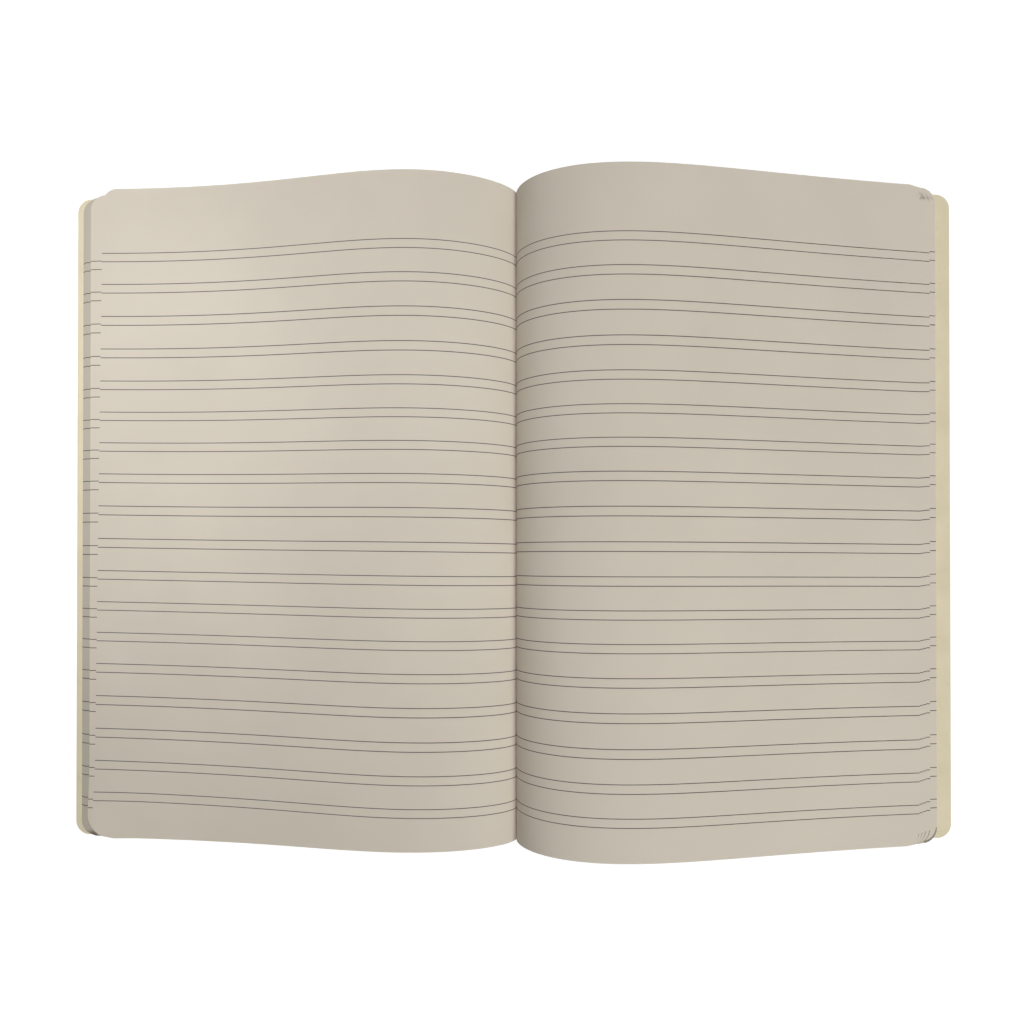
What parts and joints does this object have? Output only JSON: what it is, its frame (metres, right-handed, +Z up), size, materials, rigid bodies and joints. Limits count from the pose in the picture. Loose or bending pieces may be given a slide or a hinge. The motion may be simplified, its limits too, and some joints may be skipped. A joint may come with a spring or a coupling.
{
  "type": "open composition notebook",
  "caption": "Soft-cover ruled notebook lying open and flat, its leaves spread into two humps beside the valley; both covers hinge at the spine and close upwards.",
  "frame": {"origin": "centre of the underside of the spine, on the surface that the notebook lies on", "axes": "+X towards the right-hand page, +Y towards the head of the page, +Z up out of the open pages"},
  "size_m": [0.312, 0.2286, 0.0212],
  "materials": {
    "cover_card": "plain cream-yellow card, matt",
    "glue": "dried milky glue",
    "ruled_paper": "uncoated grey-cream paper with thin dark ruled lines in pairs"
  },
  "bodies": {
    "binding": {"cover_spine": "cover_card", "spine_glue": "glue", "pages": "ruled_paper"},
    "front_cover": {"front_cover": "cover_card"},
    "back_cover": {"back_cover": "cover_card"}
  },
  "joints": [
    {"name": "front_cover_hinge", "type": "hinge", "parent": "binding", "child": "front_cover", "pos_m": [-0.00365, 0, 0.00035], "axis": [0, 1, 0], "range_deg": [0, 90], "deforming": ["pages"]},
    {"name": "back_cover_hinge", "type": "hinge", "parent": "binding", "child": "back_cover", "pos_m": [0.00365, 0, 0.00035], "axis": [0, -1, 0], "range_deg": [0, 90], "deforming": ["pages"]}
  ]
}
